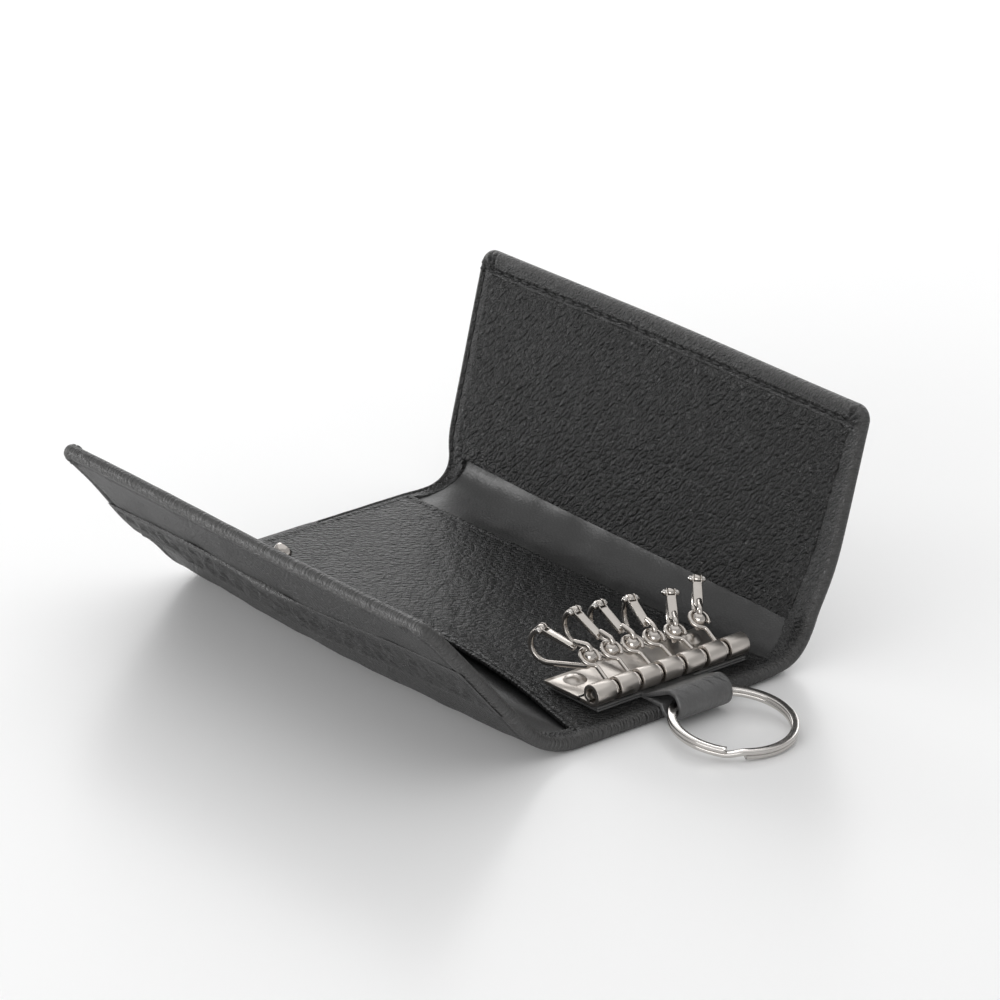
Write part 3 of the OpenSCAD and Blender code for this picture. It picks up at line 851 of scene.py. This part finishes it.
def wire(path, up, radius):
    """Round wire with domed ends."""
    a, b = path[0] - path[1], path[-1] - path[-2]
    a, b = a / np.linalg.norm(a) * radius, b / np.linalg.norm(b) * radius
    full = np.concatenate([[path[0] + a * 0.55, path[0] + a * 0.35], path,
                           [path[-1] + b * 0.35, path[-1] + b * 0.55]])
    last = len(full) - 1
    sizes = {0: 0.35, 1: 0.8, last - 1: 0.8, last: 0.35}
    return sweep(full, up, lambda i: circle(radius * sizes.get(i, 1.0)))


def on_circle(centre, radius, degrees):
    a = math.radians(degrees)
    return (centre[0] + radius * math.cos(a), centre[1] + radius * math.sin(a))


def arc(centre, radius, start, end, step=9.0):
    n = max(2, int(abs(end - start) / step) + 1)
    a = np.radians(np.linspace(start, end, n))
    return np.stack([centre[0] + radius * np.cos(a), centre[1] + radius * np.sin(a)], -1)


def line(a, b, step=0.5):
    n = max(2, int(math.dist(a, b) / step) + 1)
    return np.linspace(a, b, n)


def chain(*parts):
    """Lines and arcs as one path, without the points that two of them share."""
    out = [parts[0]]
    for part in parts[1:]:
        out.append(part[1:] if np.allclose(out[-1][-1], part[0], atol=1e-3) else part)
    return np.concatenate(out)


def in_xz(path, y=0.0):
    """A path of X and Z as points at that Y."""
    path = np.asarray(path, float)
    return np.stack([path[:, 0], np.full(len(path), y), path[:, 1]], -1)


def rot(axis, degrees):
    a = math.radians(degrees)
    c, s = math.cos(a), math.sin(a)
    matrices = {"x": [[1, 0, 0], [0, c, -s], [0, s, c]],
                "y": [[c, 0, s], [0, 1, 0], [-s, 0, c]],
                "z": [[c, -s, 0], [s, c, 0], [0, 0, 1]]}
    return np.array(matrices[axis], float)


def moved(shape, turn, shift):
    points, faces = shape
    return points @ turn.T + np.asarray(shift, float), faces


def lathe(profile):
    """A closed solid of (radius, height) points turned round Z."""
    profile = np.asarray(profile, float)
    n, m = 20, len(profile)
    a = np.arange(n) * 2 * PI / n
    radius, height = profile[:, :1], np.repeat(profile[:, 1:], n, 1)
    points = np.stack([radius * np.cos(a), radius * np.sin(a), height], -1).reshape(-1, 3)
    i, j = np.meshgrid(np.arange(m), np.arange(n), indexing="ij")
    k, following = (j + 1) % n, (i + 1) % m
    faces = np.stack([i * n + j, i * n + k, following * n + k, following * n + j], -1).reshape(-1, 4)
    return points, faces


# ---------------------------------------- key rail

RAIL_X, RAIL_Y, RAIL_Z = 48.4, 1.7, 6.1
RAIL_LENGTH = 37.5
PLATE_Z = 4.35
BARREL, SHEET = 2.1, 0.7
HOOK_PITCH = 5.42
GAP = 0.65


def hook_y(i):
    return RAIL_Y + HOOK_PITCH * (i - 3.5)


def strip(path, y0, y1):
    """The rail's sheet metal along a path of X and Z, from y0 to y1, with softened edges."""
    offsets = rounded_box(y1 - y0, SHEET, 0.08, 2)[:, ::-1]
    return sweep(in_xz(path, (y0 + y1) / 2), ALONG_Y, lambda i: offsets)


# a plate with seven fingers, each rolled up into a knuckle whose lip turns in
rail_ends = (RAIL_Y - RAIL_LENGTH / 2, RAIL_Y + RAIL_LENGTH / 2)
gaps = [hook_y(i) + side_of * GAP for i in range(1, 7) for side_of in (-1, 1)]
knuckle_edges = [rail_ends[0]] + gaps + [rail_ends[1]]
knuckle_r = BARREL - SHEET / 2
LIP_AT = 196
lip = [on_circle((RAIL_X, RAIL_Z), knuckle_r - 0.5 * k / 6, LIP_AT + 10 * k) for k in range(7)]
roll = chain(line((44.6, PLATE_Z), (RAIL_X, PLATE_Z), 0.6),
             arc((RAIL_X, RAIL_Z), knuckle_r, -90, LIP_AT, 8.0), np.array(lip))
rail_shapes = [strip(roll, a, b) for a, b in zip(knuckle_edges[::2], knuckle_edges[1::2])]
rail_shapes.append(strip(line((35.3, PLATE_Z), (45.3, PLATE_Z), 1.0), *rail_ends))
rigid_piece("rail_plate_sheet", joined(rail_shapes), SATIN, "satin_nickel", "rail_plate", "case")

# ---------------------------------------- hooks

BAIL_LIFT = [33, 31.5, 27, 25, 22, 32]
LOOP_LIFT = [4, 11, 10, 5, 3, 6]
LOOP_FAN = [-24, -6, 0, 14, 36, 38]
BAIL_WIRE, LOOP_WIRE = 0.45, 0.55
# the bail: a hub round the rod, a straight arm, a neck, and an eye at this reach
HUB, REACH, EYE, NECK, NECK_TURN = 1.25, 7.6, 1.9, 1.0, 64.0
# the key loop: a foot through the ball, and a round of wire that ends at the gate's pivot
FOOT_HEIGHT, FOOT_BEND, FOOT_TURN = 1.3, 0.9, 10
ROUND_X, ROUND = 8.6, 3.5
PIVOT = on_circle((ROUND_X, 0), ROUND, 65)
EYELET, EYELET_BORE, EYELET_HALF = 0.85, 0.34, 0.6
# the gate: a tapering bar between two cheeks, which turn on the pivot
GATE_TILT = -17.2
CHEEK_Y = 0.775


def bail_shape():
    """The bail, flat in X and Y, with its rod at the origin."""
    turn = math.radians(NECK_TURN)
    start = REACH - (NECK + EYE) * math.sin(turn) - 0.3 * math.cos(turn)
    neck = arc((start, NECK), NECK, -90, -90 + NECK_TURN, 8.0)
    eye = arc((REACH, 0), EYE, 90 + NECK_TURN, -130, 7.0)
    flat = chain(line((HUB, 0.0), (start, 0.0), 0.6), neck, eye)
    path = np.stack([flat[:, 0], flat[:, 1], np.zeros(len(flat))], -1)
    a = np.arange(20) * PI / 10
    hub_path = in_xz(np.stack([HUB * np.cos(a), HUB * np.sin(a)], -1))
    hub = sweep(hub_path, ALONG_Y, lambda i: circle(BAIL_WIRE, 12), closed=True)
    return joined([wire(path, UP, BAIL_WIRE), hub])


def loop_shape():
    """The key loop, flat in X and Z, with the ball's middle at the origin."""
    down = np.array([math.sin(math.radians(FOOT_TURN)), math.cos(math.radians(FOOT_TURN))])
    foot = np.array([FOOT_BEND, -FOOT_HEIGHT]) - FOOT_BEND * down
    joint = np.array([ROUND_X, 0.0]) - ROUND * down
    head = FOOT_HEIGHT + FOOT_BEND
    flat = chain(line((3.3, head), (FOOT_BEND, head)),
                 arc((FOOT_BEND, FOOT_HEIGHT), FOOT_BEND, 90, 180),
                 line((0, FOOT_HEIGHT), (0, -FOOT_HEIGHT)),
                 arc((FOOT_BEND, -FOOT_HEIGHT), FOOT_BEND, 180, 270 - FOOT_TURN), line(foot, joint),
                 arc((ROUND_X, 0), ROUND, -90 - FOOT_TURN, 52, 7.0))
    chamfered = [(EYELET_BORE, -EYELET_HALF), (EYELET - 0.14, -EYELET_HALF), (EYELET, -0.45),
                 (EYELET, 0.45), (EYELET - 0.14, EYELET_HALF), (EYELET_BORE, EYELET_HALF)]
    eyelet = moved(lathe(chamfered), rot("x", 90), (PIVOT[0], 0, PIVOT[1]))
    return joined([wire(in_xz(flat), ALONG_Y, LOOP_WIRE), eyelet])


def gate_shape():
    """The gate, in the loop's place, shut against the head of the loop's wire."""
    # the bar's places from its free end to the pivot, and how wide and high it is at each
    xs = np.array([-7.5, -7.42, -7.2, -6.6, -4.5, -2.4, -1.5, -1.2])
    width = np.array([0.9, 1.35, 1.6, 1.75, 1.8, 1.8, 1.8, 1.8])
    height = np.array([0.35, 0.6, 0.75, 0.85, 0.9, 0.9, 0.9, 0.85])
    bar = sweep(np.stack([xs, 0 * xs, 0 * xs], -1), UP,
                lambda i: rounded_box(width[i], height[i], 0.16))
    parts = [bar]
    for y in (-CHEEK_Y, CHEEK_Y):
        disc = lathe([(0.0, -0.125), (0.78, -0.125), (0.86, -0.05), (0.86, 0.05), (0.78, 0.125),
                      (0.0, 0.125)])
        parts.append(moved(disc, rot("x", 90), (0, y, 0)))
        parts.append(sweep(line((-1.7, y, 0.0), (-0.2, y, 0.0), 0.4), UP,
                           lambda i: rounded_box(0.25, 0.88, 0.08, 2)))
    return moved(joined(parts), rot("y", GATE_TILT), (PIVOT[0], 0, PIVOT[1]))


bail, loop, gate = bail_shape(), loop_shape(), gate_shape()
for i in range(1, 7):
    lift = BAIL_LIFT[i - 1]
    bail_turn = rot("y", lift) @ rot("z", 180)
    rigid_piece(f"hook_{i}_bail_wire", moved(bail, bail_turn, (RAIL_X, hook_y(i), RAIL_Z)), BRIGHT,
                "hook_nickel", f"hook_{i}_bail", f"bail_{i}")
    rise = math.radians(lift)
    ball = (RAIL_X - REACH * math.cos(rise), hook_y(i), RAIL_Z + REACH * math.sin(rise))
    loop_turn = rot("y", LOOP_LIFT[i - 1]) @ rot("z", 180 - LOOP_FAN[i - 1])
    rigid_piece(f"hook_{i}_loop_wire", moved(loop, loop_turn, ball), BRIGHT,
                "hook_nickel", f"hook_{i}_loop", f"loop_{i}")
    rigid_piece(f"hook_{i}_gate_bar", moved(gate, loop_turn, ball), BRIGHT,
                "hook_nickel", f"hook_{i}_gate", f"gate_{i}")

# ---------------------------------------- split ring

LOOP_X, LOOP_Z = 57.6, 4.0
RING_Y, RING_MID, RING_AT = 0.5, 11.35, 10.327
RING_DROOP, RING_STEP = 7.6, -40.0
COIL_W, COIL_H = 1.5, 0.84

# two turns of flat wire, with the step from one to the other just past 349 degrees
coil_degrees = np.concatenate([np.linspace(9, 345, 85), np.linspace(347, 373, 14),
                               np.linspace(375, 711, 85)])
coil_angle = np.radians(coil_degrees + RING_STEP)
coil_z = -0.43 + 0.86 * smooth((coil_degrees - 349) / 22)
coil_path = np.stack([RING_AT + RING_MID * np.cos(coil_angle), RING_MID * np.sin(coil_angle), coil_z], -1)
coil_offsets = rounded_box(COIL_W, COIL_H, 0.2)
coil = sweep(coil_path, UP, lambda i: coil_offsets)
rigid_piece("split_ring_coil", moved(coil, rot("y", RING_DROOP), (LOOP_X, RING_Y, LOOP_Z)), STEEL,
            "polished_steel", "split_ring", "ring")

# ---------------------------------------- leather under the rail, and its strap

STRAP_LOW, STRAP_HIGH = -6.0, 7.0
STRAP_R = 2.6
PAD_START, PAD_END = 36.3, 49.8


def strap_section(width, thick):
    """Offsets round a strap, whose two long edges are softened."""
    y = np.array([0, 0.05, 0.15, 0.3, 0.7, 1.4, 2.5, 4.0, 5.2, 6.0])
    y = y[y < width / 2 - 0.2]
    half = np.concatenate([width / 2 - y, [0.0]])
    from_edge = np.concatenate([y, [width / 2]])
    height = thick / 2 * (1 - (1 - rounded(from_edge, 0.3)) * 0.75)
    upper = np.concatenate([np.stack([height, half], -1), np.stack([height[-2::-1], -half[-2::-1]], -1)])
    lower = np.stack([-upper[::-1, 0], upper[::-1, 1]], -1)
    return np.concatenate([upper, lower])


# out from under the rail, up and round the split ring's wire, and back below
strap_from = on_circle((LOOP_X, LOOP_Z), STRAP_R, 115.5)
strap_to = on_circle((LOOP_X, LOOP_Z), STRAP_R, -163)
strap_path = chain(line((46.8, 3.72), (50.7, 3.72), 0.5), line((50.7, 3.72), strap_from, 0.4),
                   arc((LOOP_X, LOOP_Z), STRAP_R, 115.5, -163, 7.0), line(strap_to, (46.8, 3.3), 0.5))


def strap_offsets(i):
    """Offsets round the strap, which is thinner towards its two ends in the pad."""
    from_middle = abs(i / (len(strap_path) - 1) - 0.5)
    thick = 0.55 + 0.4 * float(smooth((0.5 - from_middle) / 0.22))
    return strap_section(STRAP_HIGH - STRAP_LOW, thick)


strap = sweep(in_xz(strap_path, (STRAP_LOW + STRAP_HIGH) / 2), ALONG_Y, strap_offsets)
pad_low = RAIL_Y - RAIL_LENGTH / 2 + 0.5
pad_high = RAIL_Y + RAIL_LENGTH / 2 - 0.5
PX, PY = np.meshgrid(edged(PAD_START, PAD_END, PAD_STEPS, 0.91), edged(pad_low, pad_high, PAD_STEPS, 1.2),
                     indexing="ij")
from_edge = np.minimum(np.minimum(PX - PAD_START, PAD_END - PX), np.minimum(PY - pad_low, pad_high - PY))
softened = 0.35 + 0.65 * rounded(from_edge, 0.4)
pads = []
for pad_foot, pad_top in ((2.98, 3.5), (3.5, 3.99)):
    middle = (pad_foot + pad_top) / 2
    half = (pad_top - middle) * softened
    pads.append(slab(np.stack([PX, PY, middle - half], -1), np.stack([PX, PY, middle + half], -1),
                     turned=True))
pad_points, pad_faces = joined([strap] + pads)
rigid_piece("rail_pad_leather", (pad_points, pad_faces), STRAP, "black_leather", "rail_pad", "case",
            uv=pad_points[:, :2] / 100.0, wear=np.zeros(len(pad_points)))

# ---------------------------------------- carried-over CAD parts


def give_material(node_names, material):
    for name in node_names:
        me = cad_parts[name].data
        me.materials.clear()
        me.materials.append(material)
        me.polygons.foreach_set("material_index", np.zeros(len(me.polygons), int))


give_material(["rail_rivets", "rivet_washers", "snap_socket_washer", "snap_stud_washer"], SATIN)
give_material(["snap_stud", "snap_socket"], BRIGHT)
give_material(["rail_rod"], STEEL)
give_material([f"hook_{i}_ball" for i in range(1, 7)], BRIGHT)
give_material([f"hook_{i}_gate_pin" for i in range(1, 7)], STEEL)

# ---------------------------------------- floor and light

FLOOR_REACH = 6.0
floor_z = min(cad_box[0][2], 0.0) - 0.00005
floor_corners = [(x * FLOOR_REACH, y * FLOOR_REACH, floor_z) for x, y in ((-1, -1), (1, -1), (1, 1), (-1, 1))]
floor_mesh = bpy.data.meshes.new("floor")
floor_mesh.from_pydata(floor_corners, [], [(0, 1, 2, 3)])
floor = bpy.data.objects.new("floor", floor_mesh)
bpy.context.scene.collection.objects.link(floor)
floor_white = Graph("floor_white")
floor_white.shader.inputs["Base Color"].default_value = (0.9, 0.9, 0.9, 1.0)
floor_white.shader.inputs["Roughness"].default_value = 0.28
floor_white.shader.inputs["Specular IOR Level"].default_value = 0.25
floor_mesh.materials.append(floor_white.mat)

world = bpy.data.worlds.new("studio")
bpy.context.scene.world = world
world.use_nodes = True
background = world.node_tree.nodes["Background"]
background.inputs["Color"].default_value = (1.0, 1.0, 1.0, 1.0)
background.inputs["Strength"].default_value = 0.47


def softbox(name, location, target, size, energy):
    data = bpy.data.lights.new(name, "AREA")
    data.shape = "RECTANGLE"
    data.size, data.size_y = size
    data.energy = energy
    ob = bpy.data.objects.new(name, data)
    bpy.context.scene.collection.objects.link(ob)
    ob.location = location
    ob.rotation_mode = "QUATERNION"
    ob.rotation_quaternion = (Vector(target) - Vector(location)).to_track_quat("-Z", "Y")


softbox("top_softbox", (-0.2, 0.2, 1.4), (0, 0, 0), (2.8, 2.8), 9.0)
softbox("back_softbox", (-1.05, 0.9, 0.6), (0, 0, 0), (1.4, 1.0), 8.5)
softbox("front_softbox", (0.4, -0.95, 0.3), (0, 0, 0), (1.3, 0.45), 4.9)
softbox("left_softbox", (-0.7, -0.46, 0.12), (-0.04, 0.05, 0.04), (0.3, 0.24), 2.7)

bpy.context.scene.view_settings.view_transform = "Standard"
bpy.context.scene.view_settings.look = "None"
